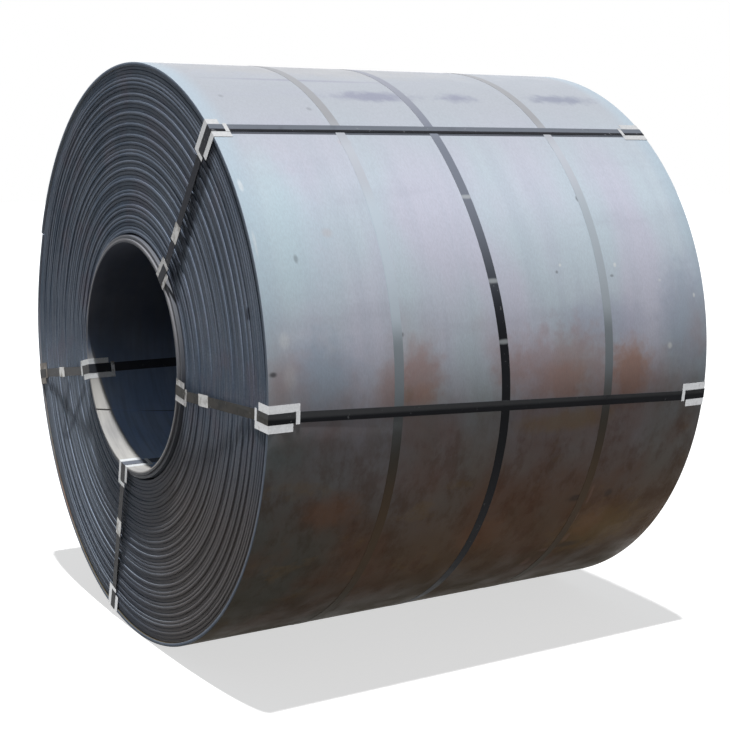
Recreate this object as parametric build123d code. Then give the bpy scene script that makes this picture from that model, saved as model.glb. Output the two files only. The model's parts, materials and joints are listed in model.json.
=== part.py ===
from build123d import *
from dataclasses import dataclass
import math
import os

# Hot-rolled steel strip wound into a coil, lying on its side and strapped for transport.
# Millimetres. The coil's axis runs along X and the end with the pushed-out inner wraps
# faces -X. The coil lies on its belly straps, whose undersides touch the floor at z = 0.

# Coil
coil_radius = 960.0
bore_radius = 381.0
strip_width = 1660.0
strip_thickness = 12.0

# Ends of the coil: wraps that lie level form one step of the end
near_steps = 8
far_steps = 5
edge_wander = 6.0
wander_turn = 2.4
mouth_wraps = 2
mouth_reach = 16.0
mouth_gap = 6.0
mouth_gap_depth = 60.0

# Strapping, and where the belly straps go round the coil
strap_width = 32.0
strap_thickness = 0.8
belly_spacing = 400.0

# Where the eye straps cross the coil's edges, outside and in the bore. They were put on
# askew, and the front one has an angle of its own at each of its four edges.
upper_angle = 51.5
upper_bore_angle = 46.5
rear_angle = 191.7
rear_bore_angle = 193.8
lower_angle = 256.0
lower_bore_angle = 260.0
front_near_angle = -2.8
front_far_angle = -6.9
front_near_bore_angle = -7.3
front_far_bore_angle = -8.5

# Edge protectors: bent plates, each leg ending in a bar that hooks over the strap. The upper
# one at the near end has a short leg outside and a long one down the face.
plate_thickness = 0.6
plate_width = 80.0
bore_plate_width = 70.0
outside_leg = 100.0
bore_leg = 95.0
face_leg = 80.0
long_leg = 110.0
short_leg = 60.0
bar_width = 13.0
slot_width = 8.0
bar_overhang = 4.0
side_clearance = 1.0

# Strap seals. Each eye strap's sits on its taut stretch of the near face, at a share of the
# way from the outer protector to the one in the bore.
seal_length = 62.0
seal_side = 2.5
seal_wall = 0.9
notch_depth = 1.4
notch_spacing = 24.0
upper_seal_share = 0.7
front_seal_share = 0.74
rear_seal_share = 0.45
lower_seal_share = 0.6
belly_seal_angle = 140.0

# Gap left between pieces that lie on each other
seat = 0.05

near_face = -strip_width / 2
far_face = strip_width / 2
near_mouth = near_face - mouth_reach
far_mouth = far_face - mouth_reach
axis_height = coil_radius + strap_thickness
mid_length_shift = mouth_reach / 2

# A flat strap in the bore touches it along both edges, so its middle stands off the wall
hollow = bore_radius - math.sqrt(bore_radius**2 - (strap_width / 2) ** 2)


@dataclass
class EyeStrap:
    """An eye strap's angle at its four edges, its protectors' hand and its seal's place."""

    near: float
    far: float
    near_bore: float
    far_bore: float
    hand: int
    seal_share: float
    near_legs: tuple = (outside_leg, face_leg)

    def angle_at(self, end, inner):
        """The angle at the near or far edge, in the bore or outside."""
        if inner:
            return self.near_bore if end == "near" else self.far_bore
        return self.near if end == "near" else self.far


@dataclass
class Corner:
    """An edge of the coil that a protector covers, where the wall meets an end face."""

    x: float
    r: float
    inward: int
    away: int
    wall_leg: float
    face_leg: float
    plate_width: float
    lift: float

    def off_wall(self, along, level):
        """A point at a distance along the wall and a level above it."""
        return (self.x + self.inward * along, self.r + self.away * level)

    def off_face(self, along, level):
        """A point at a distance along the end face and a level above it."""
        return (self.x - self.inward * level, self.r - self.away * along)

    def outside(self, level_wall, level_face):
        """The point of the bend line, at a level above the wall and the face."""
        return (self.x - self.inward * level_face, self.r + self.away * level_wall)


def corner(strap, end, inner):
    """The coil's edge that a strap crosses at the near or far end, in the bore or outside."""
    inward = 1 if end == "near" else -1
    if inner:
        x = near_mouth if end == "near" else far_face
        return Corner(x, bore_radius, inward, -1, bore_leg, face_leg, bore_plate_width, hollow)
    x, legs = (near_face, strap.near_legs) if end == "near" else (far_face, (outside_leg, face_leg))
    return Corner(x, coil_radius, inward, 1, *legs, plate_width, 0.0)


def place(shape, angle=90.0):
    """Put a shape built above the axis at its angle, counted from -Y up through +Z, on the floor."""
    return Pos(mid_length_shift, 0, axis_height) * Rot(90.0 - angle, 0, 0) * shape


def across(angle):
    """Unit vector across a strap that lies along the coil at an angle."""
    return Vector(0, math.sin(math.radians(angle)), math.cos(math.radians(angle)))


def spot(x, r, angle):
    """A point at an axial place, a radius and an angle, with the coil on the floor."""
    outward = Vector(0, -math.cos(math.radians(angle)), math.sin(math.radians(angle)))
    return Vector(x + mid_length_shift, 0, axis_height) + outward * r


def flat_face(points):
    """A closed face from (axial, radial) points, lying flat."""
    return make_face(Polyline(points, close=True))


def stood_up(face):
    """A flat face turned up into the plane through the axis."""
    return Rot(90, 0, 0) * face


def block(x_from, x_to, r_from, r_to):
    """Corners of a rectangular section."""
    return [(x_from, r_from), (x_to, r_from), (x_to, r_to), (x_from, r_to)]


def straight_band(face, side_from, side_to):
    """A profile pushed straight across the strap's direction."""
    middle = (side_from + side_to) / 2
    return Pos(0, middle, 0) * extrude(stood_up(face), (side_to - side_from) / 2, both=True)


def curved_band(face, side_from, side_to):
    """A profile turned about the axis and cut to a constant width across the strap."""
    half_angle = math.degrees(math.asin(bore_plate_width / bore_radius))
    sector = Rot(-half_angle, 0, 0) * revolve(stood_up(face), Axis.X, revolution_arc=2 * half_angle)
    reach = strip_width + 2 * coil_radius
    slab = Pos(0, (side_from + side_to) / 2, reach / 2) * Box(reach, side_to - side_from, reach)
    return (sector & slab).solids()[0]


def wander(step):
    """How far the wraps of one step lie back from the end face."""
    return edge_wander * (1 - math.cos(wander_turn * step)) / 2


def end_steps(face, inward, steps, lowest):
    """Section of one end of the coil, from the outermost wraps down to the lowest radius."""
    height = (coil_radius - lowest) / steps
    points = []
    for step in range(steps):
        x = face + inward * wander(step)
        top = coil_radius - step * height
        points += [(x, top), (x, top - height)]
    return points


def coil():
    """The wound strip, one turned solid, with two inner wraps pushed out of the near end."""
    mouth_top = bore_radius + mouth_wraps * strip_thickness
    groove_top = mouth_top + mouth_gap
    groove_end = near_face + mouth_gap_depth
    near = end_steps(near_face, 1, near_steps, groove_top)
    near += [(groove_end, groove_top), (groove_end, mouth_top)]
    near += [(near_mouth, mouth_top), (near_mouth, bore_radius)]
    far = end_steps(far_face, -1, far_steps, mouth_top)
    far += [(far_mouth, mouth_top), (far_mouth, bore_radius)]
    return place(revolve(stood_up(flat_face(near + far[::-1])), Axis.X))


def belly_strap(position):
    """A strap round the outside of the coil."""
    half = strap_width / 2
    section = block(position - half, position + half, coil_radius, coil_radius + strap_thickness)
    return place(revolve(stood_up(flat_face(section)), Axis.X))


def protector(seat_corner, angle, hand):
    """A bent plate whose two end bars hook over the strap from opposite sides."""
    band = curved_band if seat_corner.lift else straight_band
    t = plate_thickness
    trim = bar_width + slot_width
    half = seat_corner.plate_width / 2
    rail_side = strap_width / 2 + side_clearance
    free_side = strap_width / 2 + bar_overhang
    core = [
        seat_corner.outside(0, 0),
        seat_corner.off_wall(seat_corner.wall_leg - trim, 0),
        seat_corner.off_wall(seat_corner.wall_leg - trim, t),
        seat_corner.outside(t, t),
        seat_corner.off_face(seat_corner.face_leg - trim, t),
        seat_corner.off_face(seat_corner.face_leg - trim, 0),
    ]
    body = band(flat_face(core), -half, half)
    legs = (
        (seat_corner.off_wall, seat_corner.wall_leg, seat_corner.lift, hand),
        (seat_corner.off_face, seat_corner.face_leg, 0.0, -hand),
    )
    for point, leg, lift, side in legs:
        under = lift + strap_thickness + seat
        strips = (
            (leg - trim, 0, t, rail_side, half),
            (leg - bar_width, 0, under + t, rail_side, rail_side + t),
            (leg - bar_width, under, under + t, -free_side, rail_side),
        )
        for start, low, high, side_from, side_to in strips:
            section = [point(start, low), point(leg, low), point(leg, high), point(start, high)]
            body += band(flat_face(section), *sorted((side * side_from, side * side_to)))
    return place(body, angle)


def under_strap(seat_corner):
    """Underside of an eye strap round one protector, from its wall bar to its face bar."""
    over = plate_thickness + seat
    lift = seat_corner.lift
    wall_leg = seat_corner.wall_leg
    face_leg = seat_corner.face_leg
    trim = bar_width + slot_width
    return [
        seat_corner.off_wall(wall_leg, lift),
        seat_corner.off_wall(wall_leg - bar_width, lift),
        seat_corner.off_wall(wall_leg - trim, lift + over),
        seat_corner.outside(lift + over, over),
        seat_corner.off_face(face_leg - trim, over),
        seat_corner.off_face(face_leg - bar_width, 0),
        seat_corner.off_face(face_leg, 0),
    ]


def strap_route(strap):
    """Underside of an eye strap as (axial, radial, angle) points, once round its loop."""
    over_belly = coil_radius + strap_thickness + seat
    outermost = belly_spacing + strap_width
    start = near_face + corner(strap, "near", inner=False).wall_leg
    stop = far_face - corner(strap, "far", inner=False).wall_leg
    turn = (strap.far - strap.near) / (stop - start)
    route = [
        (x, over_belly, strap.near + turn * (x - start)) for x in (-outermost, 0.0, outermost)
    ]
    for end, inner in (("far", False), ("far", True), ("near", True), ("near", False)):
        points = under_strap(corner(strap, end, inner))
        if inner == (end == "far"):
            points.reverse()
        route += [(x, r, strap.angle_at(end, inner)) for x, r in points]
    return route


def top_of(before, point, after):
    """The point of a strap's upper side over one of its underside, at the bend's mitre."""
    along_in = (Vector(*point[:2]) - Vector(*before[:2])).normalized()
    along_out = (Vector(*after[:2]) - Vector(*point[:2])).normalized()
    out_in = Vector(-along_in.Y, along_in.X)
    out_out = Vector(-along_out.Y, along_out.X)
    mitre = (out_in + out_out) * (strap_thickness / (1 + out_in.dot(out_out)))
    return (point[0] + mitre.X, point[1] + mitre.Y)


def eye_strap(strap):
    """A closed strap through the bore, over four protectors and outside the belly straps."""
    route = strap_route(strap)
    sections = []
    for i, (x, r, angle) in enumerate(route):
        top_x, top_r = top_of(route[i - 1], route[i], route[(i + 1) % len(route)])
        side = across(angle) * (strap_width / 2)
        under, top = spot(x, r, angle), spot(top_x, top_r, angle)
        outline = Polyline([under - side, under + side, top + side, top - side], close=True)
        sections.append(make_face(outline))
    runs = [loft([sections[i - 1], section], ruled=True) for i, section in enumerate(sections)]
    return runs[0].fuse(*runs[1:])


def notched(sleeve):
    """Press two pairs of notches into the long edges of a seal that lies along X."""
    bar = notch_depth * math.sqrt(2)
    for side in (-1, 1):
        edge = side * (strap_width / 2 + seal_side)
        for along in (-notch_spacing / 2, notch_spacing / 2):
            sleeve -= Pos(along, edge, 0) * Rot(0, 0, 45) * Box(bar, bar, seal_length)
    return sleeve


def eye_seal(strap):
    """A folded sleeve round the eye strap, in line with its taut stretch on the near face."""
    bore_edge = corner(strap, "near", inner=True)
    outer_edge = corner(strap, "near", inner=False)
    start = spot(*bore_edge.off_face(bore_edge.face_leg, 0), strap.near_bore)
    stop = spot(*outer_edge.off_face(outer_edge.face_leg, 0), strap.near)
    share = strap.seal_share
    along = start - stop
    side = across(strap.near + share * (strap.near_bore - strap.near))
    side = (side - along * (side.dot(along) / along.dot(along))).normalized()
    width = strap_width + 2 * seal_side
    sleeve = Box(seal_length, width, strap_thickness + 2 * (seat + seal_wall))
    sleeve -= Box(2 * seal_length, strap_width + 2 * seat, strap_thickness + 2 * seat)
    sleeve = Pos(0, 0, strap_thickness / 2) * notched(sleeve)
    return Plane(stop + along * share, x_dir=along, z_dir=side.cross(along)) * sleeve


def belly_seal(position):
    """A flat seal over a belly strap, its side walls down to the coil."""
    width = strap_width + 2 * seal_side
    height = strap_thickness + seat + seal_wall
    sleeve = Pos(0, 0, height / 2) * Box(seal_length, width, height)
    sleeve -= Box(2 * seal_length, strap_width + 2 * seat, 2 * (strap_thickness + seat))
    return place(Pos(position, 0, coil_radius) * Rot(0, 0, 90) * notched(sleeve), belly_seal_angle)


eye_straps = {
    "upper": EyeStrap(
        near=upper_angle,
        far=upper_angle,
        near_bore=upper_bore_angle,
        far_bore=upper_bore_angle,
        hand=-1,
        seal_share=upper_seal_share,
        near_legs=(short_leg, long_leg),
    ),
    "front": EyeStrap(
        near=front_near_angle,
        far=front_far_angle,
        near_bore=front_near_bore_angle,
        far_bore=front_far_bore_angle,
        hand=1,
        seal_share=front_seal_share,
    ),
    "rear": EyeStrap(
        near=rear_angle,
        far=rear_angle,
        near_bore=rear_bore_angle,
        far_bore=rear_bore_angle,
        hand=1,
        seal_share=rear_seal_share,
    ),
    "lower": EyeStrap(
        near=lower_angle,
        far=lower_angle,
        near_bore=lower_bore_angle,
        far_bore=lower_bore_angle,
        hand=1,
        seal_share=lower_seal_share,
    ),
}
belly_straps = {"near": -belly_spacing, "middle": 0.0, "far": belly_spacing}

parts = {"coil": coil()}
for name, position in belly_straps.items():
    parts[f"belly_strap_{name}"] = belly_strap(position)
    parts[f"belly_seal_{name}"] = belly_seal(position)
for name, strap in eye_straps.items():
    parts[f"eye_strap_{name}"] = eye_strap(strap)
    parts[f"eye_seal_{name}"] = eye_seal(strap)
    for end in ("near", "far"):
        for kind, inner in (("edge", False), ("bore", True)):
            seat_corner = corner(strap, end, inner)
            plate = protector(seat_corner, strap.angle_at(end, inner), strap.hand)
            parts[f"{kind}_protector_{name}_{end}"] = plate

os.makedirs("parts", exist_ok=True)
for name, shape in parts.items():
    export_step(shape, f"parts/{name}.step")
    print(name, len(shape.solids()), round(shape.volume), shape.is_valid)
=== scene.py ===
import json
import math

import bmesh
import bpy
import numpy as np
from mathutils import Matrix, Quaternion, Vector


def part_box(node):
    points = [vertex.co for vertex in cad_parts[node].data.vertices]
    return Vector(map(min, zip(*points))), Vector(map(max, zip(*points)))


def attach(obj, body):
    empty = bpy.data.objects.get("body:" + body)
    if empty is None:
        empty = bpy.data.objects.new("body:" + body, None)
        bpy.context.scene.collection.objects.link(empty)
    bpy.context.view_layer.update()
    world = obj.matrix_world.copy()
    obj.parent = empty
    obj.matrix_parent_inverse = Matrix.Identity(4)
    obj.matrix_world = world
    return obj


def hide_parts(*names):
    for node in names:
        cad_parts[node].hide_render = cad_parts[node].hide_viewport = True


# A strapped coil of hot-rolled steel, dressed over its CAD model, in metres. Wound strip
# takes the place of the turned solid, and the middle belly strap and its seal are made
# again where they have slipped to. Every other node keeps its shape and gets a finish.
# Angles are in degrees unless a name or docstring says otherwise, and angles round the coil
# are counted from -Y up through +Z.

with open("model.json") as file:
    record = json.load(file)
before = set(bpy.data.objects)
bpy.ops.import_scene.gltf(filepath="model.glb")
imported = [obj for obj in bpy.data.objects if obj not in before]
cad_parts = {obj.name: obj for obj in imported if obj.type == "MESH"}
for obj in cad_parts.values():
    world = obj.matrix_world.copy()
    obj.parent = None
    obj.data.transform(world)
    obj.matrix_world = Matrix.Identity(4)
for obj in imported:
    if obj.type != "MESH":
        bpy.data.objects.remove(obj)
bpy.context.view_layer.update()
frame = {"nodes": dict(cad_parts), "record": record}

# Sizes that the frame gives
coil_low, coil_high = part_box("coil")
bore_dims = next(m["dims"] for m in frame["record"]["mounts"] if m["name"] == "eye_bore")
axis_z = (coil_low.z + coil_high.z) / 2
coil_radius = (coil_high.z - coil_low.z) / 2
bore_radius = bore_dims["r_mm"] / 1000
strip_width = bore_dims["length_mm"] / 1000
near_mouth = coil_low.x
far_face = coil_high.x
near_face = far_face - strip_width
far_mouth = near_mouth + strip_width

# The wound strip, its rounded edges, and how finely it is divided round and along the coil
strip_thickness = 0.012
edge_round = 0.0018
corner_cut = 0.3 * edge_round
wrap_gap = 0.0004
segments = 270
stations = 30
sharp_angle = 38.0

# The strip's outer tail, after which each turn rises to its own level, and its inner head
# end, which slants by so many degrees a metre near the mouth and is thinner by a step
tail_angle = 158.0
settle_turn = 26.0
head_angle = 216.0
head_slant = 23.0
head_slant_reach = 0.4
head_step = 0.004

# The wraps pushed out at the near end, the gap round them, and how far each lies behind the
# one inside it
wraps_at_mouth = 2
mouth_gap = 0.006
mouth_lag = 0.006

# The turns' edges at the two ends of the coil: how deep they are made, how far back each
# may lie, how that drifts from turn to turn and wavers along the strip, and its limits.
# Each side of the gap between two turns wavers too, round a width of gap_share wavers.
lip_depth = 0.045
most_set_back = 0.0046
set_back_drift = 0.0009
edge_waver = 0.0007
back_limits = (0.0001, 0.0068)
gap_waver = 0.0002
gap_share = 1.2
near_seed = 11
far_seed = 23

# Where two of the eye straps lie on the outside, at the near and far edge
upper_strap_angles = (51.5, 51.5)
front_strap_angles = (-2.8, -6.9)

# The middle belly strap, which has slipped towards the near end, most on its upper half. The
# slip grows between two heights, given as shares of the coil's radius over its axis.
belly_seal_angle = 140.0
strap_width = 0.032
strap_proud = 0.0005
slip_below = 0.006
slip_above = 0.050
slip_heights = (-0.2, 0.75)
scuff_angles = (34.9, 18.2, 7.0)

# The photograph's viewpoint, with the camera's place from the coil's near end and axis
lens_mm = 70.4
film_mm = 36.0
camera_turns = (31.67, -9.11, 0.49)
camera_place = (near_face - 1.8056, -4.3922, axis_z + 0.7313)

# The light: a soft sun, a dim sky round it, and the white that the camera and reflections see
sun_strength = 3.8
sun_width = 1.6
sun_direction = (0.085, 0.139, -0.99)
sky_colour = (0.88, 0.94, 1, 1)
sky_strength = 0.13
white = (1, 1, 1, 1)

# The floor: what it throws back on the coil, and what the camera and reflections see of it
floor_half = 30
floor_bounce = (0.09, 0.078, 0.065, 1)
floor_pale = (0.6, 0.6, 0.6, 1)
floor_glow = 0.64

# All colours are in linear light. These are the outside's scale, rust and dirt, with painted shade
# on its top, partly on its bottom, and under the upper strap.
pale_blue = (0.62, 0.72, 0.80)
pale_lilac = (0.665, 0.678, 0.80)
rolled_blue = (0.50, 0.56, 0.66)
painted_top_shade = (0.44, 0.465, 0.51)
smudge_grey = (0.44, 0.45, 0.54)
cold_blue = (0.46, 0.60, 0.70)
end_blue = (0.26, 0.32, 0.42)
rust_orange = (0.56, 0.27, 0.15)
rust_red = (0.50, 0.32, 0.30)
dark_rust = (0.33, 0.175, 0.115)
pale_rust = (0.62, 0.42, 0.34)
rust_stain = (0.62, 0.50, 0.42)
ochre = (0.34, 0.24, 0.11)
low_ochre = (0.50, 0.345, 0.17)
earth = (0.310, 0.212, 0.140)
olive_earth = (0.225, 0.225, 0.200)
earth_and_painted_shade = (0.105, 0.085, 0.045)
fine_dirt = (0.2, 0.2, 0.22)
strap_shadow_line = (0.045, 0.05, 0.065)
soot = (0.06, 0.06, 0.065)
chalk = (0.85, 0.88, 0.90)

# The strip's cut edges, the painted shade and highlight on their corners, and the painted shadows
# beside the straps that cross them
edge_dark = (0.195, 0.270, 0.385)
edge_light = (0.375, 0.455, 0.590)
edge_pale = (0.465, 0.525, 0.640)
edge_lilac = (0.390, 0.345, 0.430)
edge_shade = (0.155, 0.172, 0.220)
edge_low_rear = (0.545, 0.64, 0.785)
edge_high_front = (0.60, 0.69, 0.86)
edge_low_front = (0.345, 0.300, 0.265)
edge_dirt = (0.115, 0.13, 0.16)
corner_shade = (0.100, 0.120, 0.155)
shade_where_sunlit = (0.062, 0.074, 0.096)
corner_highlight = (0.48, 0.54, 0.60)
cast_shadow_colour = (0.040, 0.046, 0.062)

# Pairs that vary from place to place in the bore and on the straps, and plain colours there
upper_bore_shade = ((0.070, 0.085, 0.120), (0.110, 0.125, 0.160))
lower_bore_sheen = ((0.32, 0.45, 0.70), (0.42, 0.54, 0.76))
bore_dust_and_light = ((0.40, 0.395, 0.39), (0.52, 0.51, 0.485))
bore_rim = ((0.20, 0.205, 0.23), (0.29, 0.29, 0.31))
low_rim = (0.10, 0.11, 0.13)
second_rim = (0.09, 0.105, 0.13)
bore_streak = (0.10, 0.10, 0.11)
worn_rim = (0.50, 0.50, 0.52)
black_paint = ((0.008, 0.009, 0.012), (0.022, 0.023, 0.028))
strap_dust = (0.155, 0.172, 0.205)
front_sheen = (0.115, 0.12, 0.13)
middle_dust = (0.205, 0.225, 0.275)
middle_top_dust = (0.32, 0.33, 0.385)
brown_dirt = (0.105, 0.100, 0.090)
upper_end_dirt = (0.034, 0.038, 0.052)
eye_end_dirt = (0.060, 0.060, 0.064)
scuff_grey = (0.30, 0.31, 0.33)
scuff_bright = (0.5, 0.53, 0.56)

# The scale on the two outer belly straps, and what covers it from their tops down
band_near = (0.64, 0.73, 0.82)
band_far = (0.50, 0.56, 0.62)
band_top = (0.34, 0.345, 0.365)
band_high = (0.53, 0.56, 0.62)
band_dull = (0.19, 0.215, 0.235)
band_brown = (0.150, 0.135, 0.115)
band_earth = (0.225, 0.165, 0.115)
band_lowest = (0.085, 0.070, 0.042)

# Zinc on the seals and protectors
zinc_clean = (0.60, 0.61, 0.625)
zinc_dull = (0.46, 0.46, 0.45)
zinc_sky_sheen = (0.88, 0.91, 0.93)
zinc_mottled = (0.74, 0.74, 0.74)
zinc_earthy = (0.2, 0.18, 0.16)
zinc_grime = (0.13, 0.115, 0.10)

# Stains and marks outside the coil: distance from the near edge, angle, length along the
# coil, breadth round it, colour, strength and how ragged the edge is. The low stains and
# the marks lie over the earth.
stains = (
    (0.14, 27.0, 0.34, 0.70, (0.55, 0.72, 0.80), 0.45, 0.5),
    (1.20, 9.0, 0.52, 0.24, (0.44, 0.46, 0.60), 0.5, 0.5),
    (1.56, 8.0, 0.30, 0.60, (0.38, 0.44, 0.56), 0.6, 0.6),
    (1.325, 359.0, 0.25, 0.30, rust_orange, 0.7, 0.9),
    (1.05, 1.5, 0.58, 0.36, rust_red, 0.5, 1.0),
    (1.05, 358.5, 0.26, 0.20, rust_orange, 0.38, 1.0),
    (0.84, 1.5, 0.20, 0.20, rust_red, 0.4, 0.9),
    (0.41, 1.0, 0.16, 0.22, rust_red, 0.45, 0.9),
    (0.51, 1.5, 0.22, 0.30, rust_red, 0.7, 0.8),
    (0.52, 358.5, 0.12, 0.12, rust_orange, 0.35, 0.9),
    (0.46, 359.0, 0.06, 0.10, ochre, 0.4, 0.8),
    (0.17, 2.0, 0.38, 0.40, (0.36, 0.48, 0.62), 0.55, 0.7),
    (0.08, 351.0, 0.22, 0.22, (0.20, 0.30, 0.29), 0.4, 0.8),
    (0.66, 63.2, 0.44, 0.10, (0.27, 0.28, 0.37), 0.75, 1.1),
    (0.99, 63.4, 0.22, 0.09, (0.27, 0.28, 0.37), 0.7, 1.1),
    (1.43, 63.9, 0.40, 0.10, (0.26, 0.28, 0.36), 0.8, 1.1),
    (0.45, 70.5, 0.90, 0.026, (0.33, 0.33, 0.42), 0.6, 0.6),
    (0.60, 80.0, 1.60, 0.34, (0.50, 0.47, 0.44), 0.3, 1.0),
    (0.251, 28.4, 0.05, 0.04, rust_orange, 0.15, 0.5),
    (0.426, 48.0, 0.06, 0.04, rust_orange, 0.15, 0.5),
)
low_stains = (
    (0.243, 338.7, 0.26, 0.16, rust_orange, 0.34, 1.0),
    (0.53, 343.0, 0.40, 0.14, rust_red, 0.2, 1.0),
    (1.07, 350.8, 0.56, 0.10, low_ochre, 0.5, 0.9),
    (1.38, 322.0, 0.44, 0.36, low_ochre, 0.6, 1.0),
    (1.32, 324.0, 0.16, 0.20, rust_orange, 0.3, 1.0),
    (0.86, 326.0, 0.30, 0.22, rust_orange, 0.22, 1.1),
)
marks = (
    (1.217, 34.0, 0.026, 0.034, soot, 0.65, 0.3),
    (1.066, 20.5, 0.014, 0.016, chalk, 0.8, 0.2),
    (1.048, 19.2, 0.016, 0.016, soot, 0.5, 0.3),
    (1.290, 20.0, 0.018, 0.022, chalk, 0.8, 0.2),
    (1.269, 17.9, 0.022, 0.014, soot, 0.45, 0.3),
    (1.470, 16.5, 0.018, 0.014, chalk, 0.5, 0.3),
    (1.613, 13.1, 0.014, 0.022, chalk, 0.8, 0.2),
    (1.238, 9.4, 0.020, 0.014, chalk, 0.7, 0.2),
    (1.492, 3.6, 0.028, 0.030, chalk, 0.8, 0.4),
    (0.440, 9.7, 0.034, 0.022, soot, 0.7, 0.3),
    (0.057, 10.2, 0.050, 0.070, chalk, 0.4, 0.5),
    (0.070, 4.0, 0.060, 0.110, chalk, 0.25, 0.8),
    (0.020, 38.0, 0.020, 0.060, chalk, 0.5, 0.8),
    (0.014, 27.0, 0.014, 0.120, chalk, 0.35, 0.8),
    (0.016, 4.7, 0.034, 0.022, soot, 0.8, 0.3),
    (0.131, 23.9, 0.020, 0.036, soot, 0.4, 0.3),
    (0.378, 57.8, 0.026, 0.026, soot, 0.25, 0.3),
    (0.108, 61.9, 0.022, 0.026, soot, 0.25, 0.3),
    (1.203, 332.4, 0.10, 0.045, soot, 0.55, 0.8),
    (1.342, 332.4, 0.05, 0.045, soot, 0.55, 0.8),
    (1.290, 317.3, 0.16, 0.050, soot, 0.55, 0.8),
    (1.262, 333.0, 0.020, 0.120, pale_rust, 0.55, 1.2),
    (1.246, 326.5, 0.020, 0.090, pale_rust, 0.6, 1.2),
    (1.262, 320.0, 0.028, 0.070, pale_rust, 0.6, 1.2),
    (1.215, 316.5, 0.100, 0.030, pale_rust, 0.6, 1.2),
    (1.160, 312.5, 0.040, 0.100, pale_rust, 0.5, 1.2),
)

# Painted shadows beside lines across the near face, where straps and seals cast them: the line's
# two ends as Y and height over the axis, the distances from the line where the shadow starts and
# stops, softness and strength
near_face_shadows = (
    ((-0.598, 0.751), (-0.262, 0.276), 0.0, 0.085, 0.03, 0.8),
    ((0.636, -0.173), (0.696, -0.412), -0.022, 0.022, 0.014, 0.45),
    ((0.459, -0.165), (0.674, -0.408), -0.022, 0.022, 0.014, 0.45),
    ((-0.832, 0.258), (-0.832, 0.214), -0.014, 0.014, 0.010, 0.7),
)


def smooth(share):
    """A share from 0 to 1, eased at both ends."""
    return share * share * (3 - 2 * share)


def smooth_noise(position, seed, octaves=3, table_size=4096):
    """Value noise from -1 to 1 along a line, with a new value at each whole number."""
    total = np.zeros_like(position, dtype=float)
    size = 0.0
    for octave in range(octaves):
        table = np.random.default_rng(seed + 101 * octave).uniform(-1, 1, table_size)
        p = position * 2**octave
        base = np.floor(p).astype(int)
        share = smooth(p - base)
        weight = 0.5**octave
        low, high = table[base % table_size], table[(base + 1) % table_size]
        total += weight * (low * (1 - share) + high * share)
        size += weight
    return total / size


def settled(place):
    """How far a wrap has risen to its own level, for its place in turns past the tail."""
    return smooth(np.clip(place * 360 / settle_turn, 0, 1))


def round_from(angle, place):
    """The angle in radians at a place, in turns past a start angle."""
    return math.radians(angle) + place * 2 * math.pi


def add_object(name, data):
    """A new object in the scene."""
    made = bpy.data.objects.new(name, data)
    bpy.context.scene.collection.objects.link(made)
    return made


def strip_mesh(name, x, r, angles, material, fields):
    """A wound strip from tables of axial place, radius and angle in radians.

    It is capped at its two ends, and carries fields of values that its material reads.
    """
    rows, columns = x.shape
    points = np.stack([x, -r * np.cos(angles), axis_z + r * np.sin(angles)], axis=-1)
    row = np.arange(rows)[:, None]
    column = np.arange(columns - 1)[None, :]
    next_row = (row + 1) % rows
    corners = [row * columns + column, row * columns + column + 1]
    corners += [next_row * columns + column + 1, next_row * columns + column]
    faces = np.stack(np.broadcast_arrays(*corners), axis=-1).reshape(-1, 4).tolist()
    faces.append([i * columns for i in range(rows)])
    faces.append([i * columns + columns - 1 for i in range(rows)])
    mesh = bpy.data.meshes.new(name)
    mesh.from_pydata(points.reshape(-1, 3).tolist(), [], faces)
    for field, values in fields.items():
        attribute = mesh.attributes.new(field, "FLOAT", "POINT")
        attribute.data.foreach_set("value", np.ascontiguousarray(values, dtype=np.float32).ravel())
    work = bmesh.new()
    work.from_mesh(mesh)
    bmesh.ops.recalc_face_normals(work, faces=work.faces)
    work.to_mesh(mesh)
    work.free()
    mesh.polygons.foreach_set("use_smooth", [True] * len(mesh.polygons))
    mesh.set_sharp_from_angle(angle=math.radians(sharp_angle))
    mesh.materials.append(material)
    return add_object(name, mesh)


def end_of_turns(name, face, inward, lowest, seed, material):
    """The edges of the wraps at one end: one long rounded lip that winds outwards."""
    highest = coil_radius - strip_thickness
    turns = round((highest - lowest) / strip_thickness)
    pitch = (highest - lowest) / turns
    place = np.arange(turns * segments + 1) / segments
    turn = np.minimum(place.astype(int), turns - 1)
    rise = settled(place - turn)
    random = np.random.default_rng(seed)
    set_back = random.uniform(0, most_set_back, turns)
    set_back += set_back_drift * (1 + smooth_noise(np.arange(turns) * 0.4, seed))
    before = set_back[np.maximum(turn - 1, 0)]
    waver = edge_waver * smooth_noise(place * 7, seed + 1)
    back = np.clip(before + (set_back[turn] - before) * rise + waver, *back_limits)
    below = gap_waver * (gap_share + smooth_noise(place * 5, seed + 2))
    above = gap_waver * (gap_share + smooth_noise(place * 5, seed + 3))
    low = lowest + pitch * (turn - 1 + rise) + below
    high = lowest + pitch * (turn + rise) - above
    depth = np.full_like(back, lip_depth)
    rounded = back + edge_round
    cut = back + corner_cut
    x = face + inward * np.array([depth, rounded, cut, back, back, cut, rounded, depth])
    r = [low, low, low + corner_cut, low + edge_round]
    r += [high - edge_round, high - corner_cut, high, high]
    corner_share = np.array([0, 0.3, 1, 0.4, 0.4, 1, 0.3, 0])[:, None] * np.ones_like(place)
    shade = random.uniform(-1, 1, turns)[turn] + 0.6 * smooth_noise(place * 3, seed + 4)
    tone = np.ones((len(x), 1)) * shade
    angles = round_from(tail_angle, place)
    return strip_mesh(name, x, np.array(r), angles, material, {"corner_mask": corner_share, "tone": tone})


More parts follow.
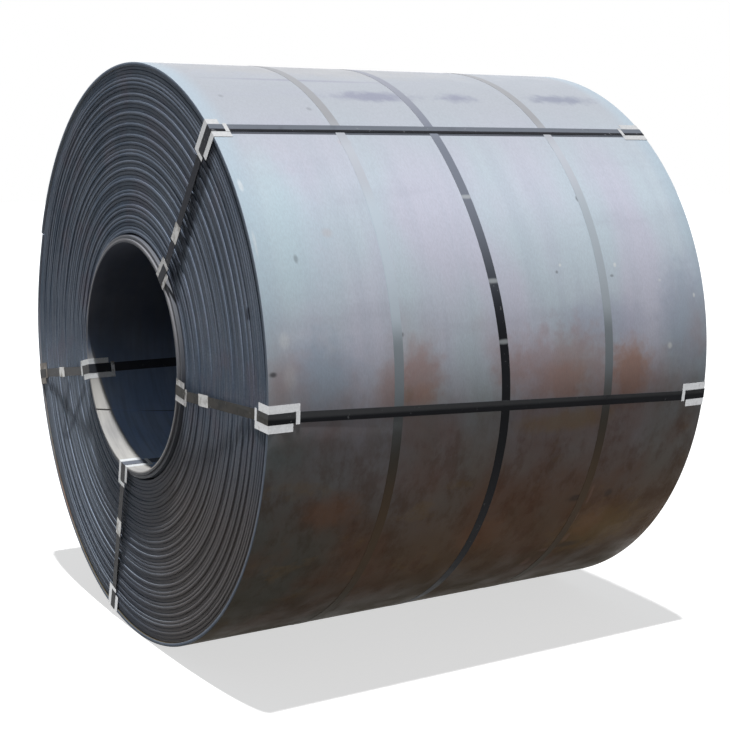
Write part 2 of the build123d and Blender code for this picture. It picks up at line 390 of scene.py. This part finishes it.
def one_wrap(name, start, stop, inner, outer, angles, material):
    """One wrap over the whole width, from its two radii at each place round the coil.

    Its angles, in radians, are a table or a function of the axial place.
    """
    along = np.linspace(start + edge_round, stop - edge_round, stations)
    at_stop = [(stop - corner_cut, outer - corner_cut), (stop, outer - edge_round)]
    at_stop += [(stop, inner + edge_round), (stop - corner_cut, inner + corner_cut)]
    at_start = [(start + corner_cut, inner + corner_cut), (start, inner + edge_round)]
    at_start += [(start, outer - edge_round), (start + corner_cut, outer - corner_cut)]
    outside = [(x, outer) for x in along]
    inside = [(x, inner) for x in along[::-1]]
    section = outside + at_stop + inside + at_start
    x = np.array([np.full_like(outer, at) for at, _ in section])
    r = np.array([radius for _, radius in section])
    corner_share = ([0.0] * stations + [1, 0.4, 0.4, 1]) * 2
    corner_mask = np.repeat(np.array(corner_share)[:, None], len(outer), axis=1)
    turned = angles(x) if callable(angles) else angles
    return strip_mesh(name, x, r, turned, material, {"corner_mask": corner_mask})


def outer_wrap(material):
    """The outermost wrap, which rises from the level of the wrap below and ends at its tail."""
    place = np.arange(segments + 1) / segments
    outer = coil_radius - strip_thickness * (1 - settled(place))
    inner = outer - strip_thickness
    angles = round_from(tail_angle, place)
    return one_wrap("outer_wrap", near_face, far_face, inner, outer, angles, material)


def inner_wrap(number, material):
    """A wrap pushed out at the near end. The innermost one shows the strip's head end."""
    place = np.arange(segments + 1) / segments
    inner = np.full_like(place, bore_radius + number * strip_thickness)
    outer = inner + strip_thickness - wrap_gap
    if number == 0:
        inner = inner + head_step * (1 - settled(place))

    def slanted(x):
        lean = head_slant * head_slant_reach * np.tanh((x - near_mouth) / head_slant_reach)
        return np.radians(head_angle + lean) + place * 2 * math.pi

    start = near_mouth + mouth_lag * number
    return one_wrap(f"inner_wrap_{number + 1}", start, far_mouth, inner, outer, slanted, material)


def slipped(angle):
    """How far the middle belly strap lies from the middle of the coil, for its angle."""
    start, full = slip_heights
    share = np.clip((np.sin(np.radians(angle)) - start) / (full - start), 0, 1)
    return -slip_below - slip_above * smooth(share)


def slipped_strap(material):
    """The middle belly strap as one closed band, with its ends under the seal."""
    turned = np.linspace(belly_seal_angle, belly_seal_angle + 360, segments + 1)
    middle = (near_face + far_face) / 2 + slipped(turned)
    half = strap_width / 2
    x = np.array([middle - half, middle + half, middle + half, middle - half])
    low = np.full_like(turned, coil_radius - strap_proud / 2)
    high = np.full_like(turned, coil_radius + strap_proud)
    r = np.array([low, low, high, high])
    return strip_mesh("slipped_belly_strap", x, r, np.radians(turned), material, {})


def slipped_seal(material):
    """The middle belly strap's seal, where the strap has slipped to."""
    seal = frame["nodes"]["belly_seal_middle"]
    mesh = seal.data.copy()
    slip = float(slipped(belly_seal_angle))
    mesh.transform(Matrix.Translation((slip, 0, 0)) @ seal.matrix_world)
    mesh.materials.clear()
    mesh.materials.append(material)
    return add_object("slipped_belly_seal", mesh)


class Finish:
    """A material, with short calls that add nodes to it.

    colour is what its surface shows so far, a colour or a node's output. Each lay covers a
    share of it.
    """

    def __init__(self, name, roughness=0.5, metallic=0.0, specular=0.5):
        self.material = bpy.data.materials.new(name)
        self.material.use_nodes = True
        self.nodes = self.material.node_tree.nodes
        self.shader = self.nodes["Principled BSDF"]
        self.shader.inputs["Roughness"].default_value = roughness
        self.shader.inputs["Metallic"].default_value = metallic
        self.shader.inputs["Specular IOR Level"].default_value = specular
        self.place = self.nodes.new("ShaderNodeTexCoord").outputs["Object"]
        self.wobble = self.noise((26, 26, 26), detail=4)
        self.colour = None

    def feed(self, socket, value):
        """Link a node's output to a socket, or set the socket to a number or colour."""
        if isinstance(value, bpy.types.NodeSocket):
            self.material.node_tree.links.new(value, socket)
        elif socket.type == "RGBA":
            socket.default_value = (*value, 1)
        else:
            socket.default_value = value

    def lay(self, share, colour, blend="MIX"):
        """Cover a share of the surface with a colour."""
        self.colour = self.mix(share, self.colour, colour, blend)
        self.feed(self.shader.inputs["Base Color"], self.colour)

    def lay_patches(self, patches):
        """Cover the patches of a table, each with its own colour."""
        for *place, tint, strength, ragged in patches:
            self.lay(self.patch(*place, strength, ragged), tint)

    def roughen(self, value):
        """Give the surface a roughness that varies."""
        self.feed(self.shader.inputs["Roughness"], value)

    def math(self, operation, *values):
        node = self.nodes.new("ShaderNodeMath")
        node.operation = operation
        for socket, value in zip(node.inputs, values):
            self.feed(socket, value)
        return node.outputs[0]

    def product(self, first, *others):
        """All values multiplied."""
        for other in others:
            first = self.math("MULTIPLY", first, other)
        return first

    def vector(self, operation, *values):
        node = self.nodes.new("ShaderNodeVectorMath")
        node.operation = operation
        for socket, value in zip(node.inputs, values):
            self.feed(socket, value)
        return node.outputs["Value" if operation == "LENGTH" else "Vector"]

    def parts(self, vector):
        """The X, Y and Z of a vector."""
        node = self.nodes.new("ShaderNodeSeparateXYZ")
        self.feed(node.inputs[0], vector)
        return node.outputs

    def noise(self, scales, detail=3.0, roughness=0.55, shift=0.0):
        """Noise between 0 and 1, with its number of waves in a metre along each axis."""
        stretched = self.vector("MULTIPLY", self.place, scales)
        moved = self.vector("ADD", stretched, (shift, 2 * shift, -shift))
        node = self.nodes.new("ShaderNodeTexNoise")
        node.inputs["Scale"].default_value = 1.0
        node.inputs["Detail"].default_value = detail
        node.inputs["Roughness"].default_value = roughness
        self.feed(node.inputs["Vector"], moved)
        return node.outputs["Fac"]

    def ramp(self, value, low, high, top=1.0):
        """A smooth rise from 0 at low to the top at high, or a fall where high is lower."""
        node = self.nodes.new("ShaderNodeMapRange")
        node.interpolation_type = "SMOOTHSTEP"
        sockets = (("Value", value), ("From Min", low), ("From Max", high), ("To Max", top))
        for name, number in sockets:
            self.feed(node.inputs[name], number)
        return node.outputs["Result"]

    def mix(self, share, first, second, blend="MIX"):
        node = self.nodes.new("ShaderNodeMix")
        node.data_type = "RGBA"
        node.blend_type = blend
        for index, value in ((0, share), (6, first), (7, second)):
            self.feed(node.inputs[index], value)
        return node.outputs[2]

    def mark(self, name):
        """A value that the mesh carries for this material."""
        node = self.nodes.new("ShaderNodeAttribute")
        node.attribute_name = name
        return node.outputs["Fac"]

    def facing(self):
        """The X, Y and Z of the surface's direction."""
        return self.parts(self.nodes.new("ShaderNodeNewGeometry").outputs["Normal"])

    def patch(self, x, angle, length, breadth, strength, ragged=0.5):
        """A share that is full in an oval patch outside the coil and falls off at its edge."""
        turned = math.radians(angle)
        y, level = -coil_radius * math.cos(turned), coil_radius * math.sin(turned)
        centre = Vector((near_face + x, y, axis_z + level))
        away = self.vector("SUBTRACT", self.place, centre)
        scaled = self.vector("MULTIPLY", away, (2 / length, 2 / breadth, 2 / breadth))
        distance = self.math("MULTIPLY_ADD", self.wobble, ragged, self.vector("LENGTH", scaled))
        return self.ramp(distance, 1 + ragged / 2, 0.25 + ragged / 2, strength)

    def turned(self):
        """The angle round the coil, in radians."""
        _, y, z = self.parts(self.place)
        return self.math("ARCTAN2", self.math("SUBTRACT", z, axis_z), self.math("MULTIPLY", y, -1))

    def streak(self, start, stop, low, high, soft, strength):
        """A share that is full between two distances right of a line across the near face."""
        _, y, z = self.parts(self.place)
        (y1, level1), (y2, level2) = start, stop
        length = math.hypot(y2 - y1, level2 - level1)
        along_y, along_z = (y2 - y1) / length, (level2 - level1) / length
        from_y = self.math("SUBTRACT", y, y1)
        from_z = self.math("SUBTRACT", z, axis_z + level1)
        aside = self.math("MULTIPLY_ADD", from_y, along_z, self.product(from_z, -along_y))
        along = self.math("MULTIPLY_ADD", from_y, along_y, self.product(from_z, along_z))
        wavering = self.math("MULTIPLY_ADD", self.wobble, 0.02, self.math("SUBTRACT", aside, 0.01))
        right = self.ramp(wavering, low, low + soft)
        across = self.product(right, self.ramp(wavering, high, high - soft))
        within = self.product(self.ramp(along, 0, soft), self.ramp(along, length, length - soft))
        return self.product(across, within, strength)

    def bump(self, height, distance):
        """Relief from a height between 0 and 1."""
        node = self.nodes.new("ShaderNodeBump")
        node.inputs["Distance"].default_value = distance
        self.feed(node.inputs["Height"], height)
        self.material.node_tree.links.new(node.outputs["Normal"], self.shader.inputs["Normal"])


def shell_steel():
    """Hot-rolled steel outside: blue-grey scale, rust tints, earth towards the bottom, and painted
    shade.
    """
    steel = Finish("shell_steel", specular=0.04)
    x, _, z = steel.parts(steel.place)
    broad = steel.noise((3.1, 1.3, 1.3), detail=2)
    steel.colour = steel.mix(steel.ramp(broad, 0.38, 0.62), pale_blue, pale_lilac)
    rolled = steel.noise((20, 1.1, 1.1), detail=3, shift=4.0)
    steel.lay(steel.ramp(rolled, 0.35, 0.75, 0.3), rolled_blue)
    # Greyer towards the top: painted shade that holds down the brightness where the sun falls most
    steel.lay(steel.ramp(z, 1.46, 1.86), painted_top_shade)
    smudge = steel.noise((1.6, 9, 9), detail=3, shift=9.0)
    steel.lay(steel.ramp(smudge, 0.5, 0.78, 0.25), smudge_grey)
    for edge, inward in ((near_face, 1), (far_face, -1)):
        steel.lay(steel.ramp(x, edge + inward * 0.085, edge + inward * 0.01, 0.45), cold_blue)
    steel.lay_patches(stains)

    # Rust and earth, which gather towards the bottom up to an uneven height. Their darkening
    # towards the bottom is partly painted shade.
    tinted = steel.ramp(steel.noise((3.6, 3.0, 3.0), detail=4, shift=12.0), 0.42, 0.68, 0.55)
    steel.lay(steel.product(tinted, steel.ramp(z, 1.26, 0.98)), rust_red)
    uneven = steel.noise((2.2, 2.2, 2.2), detail=4, shift=2.0)
    height = steel.math("MULTIPLY_ADD", uneven, 0.34, z)
    soil = steel.mix(steel.ramp(x, near_face + 0.1, near_face + 0.7), olive_earth, earth)
    steel.lay(steel.ramp(height, 1.27, 0.54, 0.98), soil)
    rusty = steel.ramp(steel.noise((3.4, 2.6, 2.6), detail=5, shift=7.0), 0.42, 0.66, 0.6)
    steel.lay(steel.product(rusty, steel.ramp(z, 1.06, 0.62)), dark_rust)
    mottle = steel.noise((13, 8, 8), detail=6, roughness=0.68, shift=15.0)
    mottled = steel.product(steel.ramp(mottle, 0.44, 0.66, 0.7), steel.ramp(z, 1.02, 0.7))
    steel.lay(mottled, rust_stain, "MULTIPLY")
    dry = steel.ramp(steel.noise((6, 9, 9), detail=5, roughness=0.65, shift=21.0), 0.56, 0.70, 0.3)
    steel.lay(steel.product(dry, steel.ramp(z, 0.95, 0.6)), low_ochre)
    # The darkest layer at the bottom: earth and painted shade
    steel.lay(steel.ramp(height, 0.56, 0.24, 0.85), earth_and_painted_shade)
    steel.lay_patches(low_stains + marks)

    # A painted shadow: a dark line on the shell just under the upper eye strap
    strap_edge = math.radians(upper_strap_angles[0]) - strap_width / 2 / coil_radius
    below = steel.math("SUBTRACT", strap_edge, steel.turned())
    line = steel.product(steel.ramp(below, 0.0, 0.0005, 0.92), steel.ramp(below, 0.0125, 0.0095))
    steel.lay(line, strap_shadow_line)

    # Fine dirt, corners worn bright above, and the ends in the colour of the cut edges
    fine = steel.noise((240, 90, 90), detail=4, shift=3.0)
    steel.lay(steel.ramp(fine, 0.3, 0.7, 0.12), fine_dirt)
    corner_mask = steel.ramp(steel.mark("corner_mask"), 0.3, 1.0, 0.4)
    steel.lay(steel.product(corner_mask, steel.ramp(z, 0.9, 1.3)), chalk)
    on_end = steel.ramp(steel.math("ABSOLUTE", steel.facing()[0]), 0.5, 0.85, 0.9)
    steel.lay(on_end, end_blue)
    dulled = steel.ramp(steel.noise((8, 8, 8), detail=4, shift=6.0), 0.3, 0.7, 0.2)
    steel.roughen(steel.math("ADD", dulled, 0.42))
    waves = steel.noise((9, 3, 3), detail=4)
    steel.bump(steel.math("ADD", steel.product(fine, 0.3), waves), 0.0012)
    return steel.material


def edge_steel():
    """The strip's cut edges: dark blue scale, one tone for each turn, and dirt low in front.

    The corners are darkened as painted shade, more where the sun falls on them higher up, and given
    a painted highlight where they face up lower down, but not at the low rear.
    """
    steel = Finish("edge_steel", 0.55, specular=0.035)
    _, y, z = steel.parts(steel.place)
    patchy = steel.noise((4, 4.5, 4.5), detail=4, roughness=0.6)
    steel.colour = steel.mix(steel.ramp(patchy, 0.3, 0.7), edge_dark, edge_light)
    tone = steel.ramp(steel.mark("tone"), -1.2, 1.2)
    steel.lay(steel.product(tone, 0.45), edge_pale)
    lilac = steel.noise((3, 6, 6), detail=3, shift=5.0)
    steel.lay(steel.ramp(lilac, 0.5, 0.7, 0.5), edge_lilac)
    steel.lay(steel.ramp(z, 0.85, 0.35, 0.85), edge_shade)
    low_rear = steel.product(steel.ramp(z, 0.98, 0.72, 0.75), steel.ramp(y, 0.16, 0.46))
    steel.lay(low_rear, edge_low_rear)
    high_front = steel.product(steel.ramp(z, 1.0, 1.25, 0.36), steel.ramp(y, 0.1, -0.3))
    steel.lay(high_front, edge_high_front)
    low_front = steel.product(steel.ramp(z, 0.98, 0.5, 0.8), steel.ramp(y, 0.1, -0.4))
    steel.lay(low_front, edge_low_front)
    fine = steel.noise((160, 160, 160), detail=4, shift=3.0)
    steel.lay(steel.ramp(fine, 0.35, 0.7, 0.3), edge_dirt)

    corners = steel.mark("corner_mask")
    facing_up = steel.facing()[2]
    lower_down = steel.ramp(z, 1.05, 0.6)
    higher_up = steel.math("SUBTRACT", 1.0, lower_down)
    # Painted shade on the corners, deeper where the sun falls higher up, and a painted highlight
    # where they face up lower down
    steel.lay(steel.product(corners, 0.7), corner_shade)
    sunlit = steel.product(steel.ramp(facing_up, 0.0, 0.5), higher_up)
    steel.lay(steel.product(corners, sunlit), shade_where_sunlit)
    lower_share = steel.math("MULTIPLY_ADD", lower_down, 0.85, 0.15)
    not_rear = steel.math("SUBTRACT", 1.0, low_rear)
    upward = steel.product(steel.ramp(facing_up, 0.5, 0.88), lower_share, not_rear)
    bright = steel.product(upward, steel.ramp(patchy, 0.2, 0.6, 0.8))
    steel.lay(steel.product(corners, bright), corner_highlight)
    # Painted shadows that the straps and seals cast on the near face
    for *dirt, strength in near_face_shadows:
        steel.lay(steel.streak(*dirt, strength), cast_shadow_colour)
    steel.bump(fine, 0.0008)
    return steel.material


def bore_steel():
    """The pushed-out wraps: grey rims, dark scale inside with painted shade above and a painted
    sheen below, and dust at the mouth low down that is partly painted light.
    """
    steel = Finish("bore_steel", specular=0.12)
    x, y, z = steel.parts(steel.place)
    cloudy = steel.ramp(steel.noise((5, 5, 5), detail=4), 0.3, 0.7)
    level = steel.math("SUBTRACT", z, axis_z)
    squares = steel.math("ADD", steel.product(y, y), steel.product(level, level))
    radius = steel.math("SQRT", squares)

    # The wall: scale painted dark high up as painted shade and pale blue low down as a painted
    # sheen. The dust shows as deep into the bore as the light reaches, so it is partly painted
    # light.
    upper = steel.mix(cloudy, *upper_bore_shade)
    lower = steel.mix(cloudy, *lower_bore_sheen)
    scale = steel.mix(steel.ramp(level, 0.12, -0.36), upper, lower)
    lit_depth = steel.math("MULTIPLY_ADD", level, -0.172, steel.product(y, 0.02))
    past_light = steel.math("SUBTRACT", steel.math("SUBTRACT", x, near_mouth), lit_depth)
    dusted_and_lit = steel.product(steel.ramp(past_light, 0.014, 0.006), steel.ramp(level, 0.0, -0.08))
    wall = steel.mix(dusted_and_lit, scale, steel.mix(cloudy, *bore_dust_and_light))
    streaked = steel.ramp(steel.noise((60, 6, 6), detail=3, shift=2.0), 0.4, 0.75, 0.25)
    wall = steel.mix(streaked, wall, bore_streak)

    # The rims, darker low down and on the second wrap
    steel.colour = steel.mix(cloudy, *bore_rim)
    steel.lay(steel.ramp(level, 0.0, -0.3, 0.75), low_rim)
    second_wrap = bore_radius + strip_thickness
    steel.lay(steel.ramp(radius, second_wrap - 0.0005, second_wrap + 0.0005, 0.6), second_rim)
    wall_radius = bore_radius + head_step + 0.001
    steel.lay(steel.ramp(radius, wall_radius + 0.0005, wall_radius - 0.0005), wall)
    steel.lay(steel.ramp(steel.mark("corner_mask"), 0.3, 1.0, 0.35), worn_rim)
    steel.bump(steel.noise((40, 12, 12), detail=4), 0.001)
    return steel.material


def strapping(name, dust_and_sheen, dusty_from, dusty_to, end_dirt=brown_dirt, shade_band=None):
    """Black painted strapping, dusty where it faces up, dirty on the coil's ends and scuffed.

    The dust starts and is full at two values of the surface's direction along Z. Where the
    strap's two angles along the coil are given, with two distances across it, its part below
    the first distance from its middle line is kept dark as painted shade, and the dust, there
    partly a painted sheen, is full from the second.
    """
    paint = Finish(name, specular=0.05)
    facing_x, _, facing_z = paint.facing()
    x = paint.parts(paint.place)[0]
    cloud = paint.noise((14, 14, 14), detail=4)
    paint.colour = paint.mix(cloud, *black_paint)
    dust_outside_shade = paint.product(paint.ramp(facing_z, dusty_from, dusty_to), paint.ramp(cloud, 0.0, 0.4))
    # A strap along the coil keeps its lower part dark as painted shade, and the dust above it is
    # partly a painted sheen
    if shade_band:
        near_angle, far_angle, shaded_to, unshaded_from = shade_band
        slant = math.radians(far_angle - near_angle) / strip_width
        middle = paint.math("MULTIPLY_ADD", x, slant, math.radians(near_angle) - slant * near_face)
        across = paint.product(paint.math("SUBTRACT", paint.turned(), middle), coil_radius)
        dust_outside_shade = paint.product(dust_outside_shade, paint.ramp(across, shaded_to, unshaded_from))
    paint.lay(dust_outside_shade, dust_and_sheen)
    on_end = paint.ramp(paint.math("ABSOLUTE", facing_x), 0.6, 0.9)
    paint.lay(paint.product(on_end, paint.ramp(cloud, 0.25, 0.6)), end_dirt)
    scuffed = paint.ramp(paint.noise((70, 70, 70), detail=3, shift=8.0), 0.66, 0.72, 0.5)
    paint.lay(scuffed, scuff_grey)
    paint.roughen(paint.math("MULTIPLY_ADD", cloud, 0.3, 0.25))
    paint.bump(paint.noise((150, 150, 150), detail=3), 0.0003)
    return paint


def middle_strapping():
    """The middle belly strap, dusty on top, with three scuffs that reach across it."""
    paint = strapping("middle_strapping", middle_dust, 0.14, 0.6)
    paint.lay(paint.ramp(paint.facing()[2], 0.72, 0.95, 0.8), middle_top_dust)
    for angle in scuff_angles:
        x = strip_width / 2 + float(slipped(angle))
        paint.lay(paint.patch(x, angle, 0.09, 0.022, 0.75, 0.3), scuff_bright)
    return paint.material


def grey_strapping(name, scale):
    """The outer belly straps: scale like the coil's above, dull in the middle, brown below."""
    band = Finish(name, specular=0.05)
    _, _, z = band.parts(band.place)
    cloud = band.noise((6, 6, 6), detail=4)
    band.colour = band.mix(cloud, tuple(0.88 * part for part in scale), scale)
    band.lay(band.ramp(z, 1.46, 1.58), band_high)
    band.lay(band.ramp(z, 1.64, 1.76), band_top)
    band.lay(band.ramp(z, axis_z + 0.22, axis_z + 0.12, 0.62), band_dull)
    height = band.math("MULTIPLY_ADD", cloud, 0.2, z)
    band.lay(band.ramp(height, 1.10, 0.84, 0.96), band_brown)
    band.lay(band.ramp(height, 0.92, 0.66), band_earth)
    band.lay(band.ramp(height, 0.56, 0.24, 0.9), band_lowest)
    band.bump(band.noise((120, 120, 120), detail=3), 0.0003)
    return band.material


def galvanised(name, dirt, metal=zinc_clean, metallic=0.55):
    """Zinc-coated sheet with a fine spangle, and more grime for more dirt."""
    zinc = Finish(name, metallic=metallic)
    cells = zinc.nodes.new("ShaderNodeTexVoronoi")
    cells.inputs["Scale"].default_value = 220.0
    zinc.feed(cells.inputs["Vector"], zinc.place)
    grey = zinc.nodes.new("ShaderNodeRGBToBW")
    zinc.feed(grey.inputs[0], cells.outputs["Color"])
    spangle = zinc.ramp(grey.outputs[0], 0.2, 0.9)
    zinc.colour = zinc.mix(spangle, tuple(0.9 * part for part in metal), metal)
    spread = zinc.noise((30, 30, 30), detail=5, roughness=0.6)
    zinc.lay(zinc.ramp(spread, 0.72 - dirt, 0.86 - dirt / 2), zinc_grime)
    dulled = zinc.ramp(spread, 0.72 - dirt, 0.9 - dirt / 2)
    zinc.roughen(zinc.math("MULTIPLY_ADD", dulled, 0.3, 0.34))
    zinc.bump(zinc.noise((90, 90, 90), detail=2), 0.0004)
    return zinc.material


def add_coil():
    """The wound strip in place of the turned solid."""
    shell, edge, bore = shell_steel(), edge_steel(), bore_steel()
    lowest = bore_radius + wraps_at_mouth * strip_thickness + mouth_gap
    pieces = [
        end_of_turns("near_turns", near_face, 1, lowest, near_seed, edge),
        end_of_turns("far_turns", far_face, -1, lowest, far_seed, edge),
        outer_wrap(shell),
    ]
    pieces += [inner_wrap(number, bore) for number in range(wraps_at_mouth)]
    for piece in pieces:
        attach(piece, "root")
        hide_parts("coil")


def finish_fittings():
    """Finishes on the straps, seals and edge protectors, and the slipped strap with its seal."""
    # The two eye straps outside: painted shade on their lower part and a painted sheen above it
    upper_strap_shade = (*upper_strap_angles, -0.0065, -0.0035)
    front_strap_shade = (*front_strap_angles, -0.004, 0.006)
    upper = strapping("upper_strapping", strap_dust, 0.1, 0.6, upper_end_dirt, upper_strap_shade)
    front = strapping("front_strapping", front_sheen, -0.5, 0.0, shade_band=front_strap_shade)
    middle = middle_strapping()
    dirty_zinc = galvanised("dirty_galvanised", 0.3, zinc_dull)
    mottled_zinc = galvanised("mottled_galvanised", 0.3, zinc_mottled, 0.1)
    by_kind = {
        "eye_strap": strapping("black_strapping", strap_dust, 0.1, 0.6, eye_end_dirt).material,
        "eye_seal": dirty_zinc,
        "belly_seal": dirty_zinc,
        "edge_protector": galvanised("galvanised", 0.12),
        # Bore protectors paler than zinc and barely metallic: a painted reflection of the sky
        "bore_protector": galvanised("bore_galvanised", 0.14, zinc_sky_sheen, 0.1),
    }
    by_name = {
        "eye_strap_upper": upper.material,
        "eye_strap_front": front.material,
        "belly_strap_middle": middle,
        "belly_strap_near": grey_strapping("near_strapping", band_near),
        "belly_strap_far": grey_strapping("far_strapping", band_far),
        "edge_protector_rear_near": galvanised("earthy_galvanised", 0.6, zinc_earthy),
        "bore_protector_upper_near": mottled_zinc,
        "bore_protector_front_near": mottled_zinc,
    }
    for name, node in frame["nodes"].items():
        if name == "coil":
            continue
        kind = "_".join(name.split("_")[:2])
        node.data.materials.clear()
        node.data.materials.append(by_name.get(name) or by_kind[kind])
    strap, seal = slipped_strap(middle), slipped_seal(dirty_zinc)
    for piece, name, slot in (
        (strap, "belly_strap_middle", "black_strapping"),
        (seal, "belly_seal_middle", "galvanised_sheet"),
    ):
        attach(piece, "root")
        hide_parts(name)


def make_camera():
    """The photograph's viewpoint."""
    data = bpy.data.cameras.new("camera")
    data.lens = lens_mm
    data.sensor_width = film_mm
    camera = add_object("camera", data)
    yaw, pitch, roll = (math.radians(turn) for turn in camera_turns)
    level = math.cos(pitch)
    forward = Vector((math.sin(yaw) * level, math.cos(yaw) * level, math.sin(pitch)))
    camera.location = camera_place
    camera.rotation_mode = "QUATERNION"
    camera.rotation_quaternion = forward.to_track_quat("-Z", "Y") @ Quaternion((0, 0, 1), roll)
    bpy.context.scene.camera = camera


def seen_directly(tree):
    """1 for camera, glossy and transmission rays, and 0 for the rays that light the object."""
    path = tree.nodes.new("ShaderNodeLightPath")
    seen = path.outputs["Is Camera Ray"]
    for name in ("Is Glossy Ray", "Is Transmission Ray"):
        either = tree.nodes.new("ShaderNodeMath")
        either.operation = "MAXIMUM"
        tree.links.new(seen, either.inputs[0])
        tree.links.new(path.outputs[name], either.inputs[1])
        seen = either.outputs[0]
    return seen


def mix_by_ray(tree, lighting, shown, out):
    """Give an output one shader for the rays that light the object, and one for the rest."""
    mix = tree.nodes.new("ShaderNodeMixShader")
    tree.links.new(seen_directly(tree), mix.inputs[0])
    tree.links.new(lighting.outputs[0], mix.inputs[1])
    tree.links.new(shown.outputs[0], mix.inputs[2])
    tree.links.new(mix.outputs[0], out.inputs[0])


def make_floor():
    """A pale floor that keeps the coil's shadow and throws little light back up."""
    mesh = bpy.data.meshes.new("floor")
    corners = [(floor_half * x, floor_half * y, 0) for x, y in ((-1, -1), (1, -1), (1, 1), (-1, 1))]
    mesh.from_pydata(corners, [], [(0, 1, 2, 3)])
    floor = add_object("floor", mesh)
    material = bpy.data.materials.new("floor")
    material.use_nodes = True
    tree = material.node_tree
    tree.nodes.clear()
    out = tree.nodes.new("ShaderNodeOutputMaterial")
    dull = tree.nodes.new("ShaderNodeBsdfDiffuse")
    dull.inputs[0].default_value = floor_bounce
    pale = tree.nodes.new("ShaderNodeBsdfDiffuse")
    pale.inputs[0].default_value = floor_pale
    glow = tree.nodes.new("ShaderNodeEmission")
    glow.inputs[1].default_value = floor_glow
    both = tree.nodes.new("ShaderNodeAddShader")
    tree.links.new(pale.outputs[0], both.inputs[0])
    tree.links.new(glow.outputs[0], both.inputs[1])
    mix_by_ray(tree, dull, both, out)
    mesh.materials.append(material)


def make_light():
    """One soft lamp nearly overhead, a little towards the camera, in a plain pale surround."""
    sun = bpy.data.lights.new("sun", "SUN")
    sun.energy = sun_strength
    sun.angle = math.radians(sun_width)
    lamp = add_object("sun", sun)
    lamp.rotation_mode = "QUATERNION"
    lamp.rotation_quaternion = Vector(sun_direction).to_track_quat("-Z", "Y")
    world = bpy.data.worlds.new("world")
    bpy.context.scene.world = world
    world.use_nodes = True
    tree = world.node_tree
    tree.nodes.clear()
    out = tree.nodes.new("ShaderNodeOutputWorld")
    dim = tree.nodes.new("ShaderNodeBackground")
    dim.inputs[0].default_value = sky_colour
    dim.inputs[1].default_value = sky_strength
    bright = tree.nodes.new("ShaderNodeBackground")
    bright.inputs[0].default_value = white
    mix_by_ray(tree, dim, bright, out)


add_coil()
finish_fittings()
make_camera()
make_floor()
make_light()
bpy.context.scene.view_settings.view_transform = "Standard"
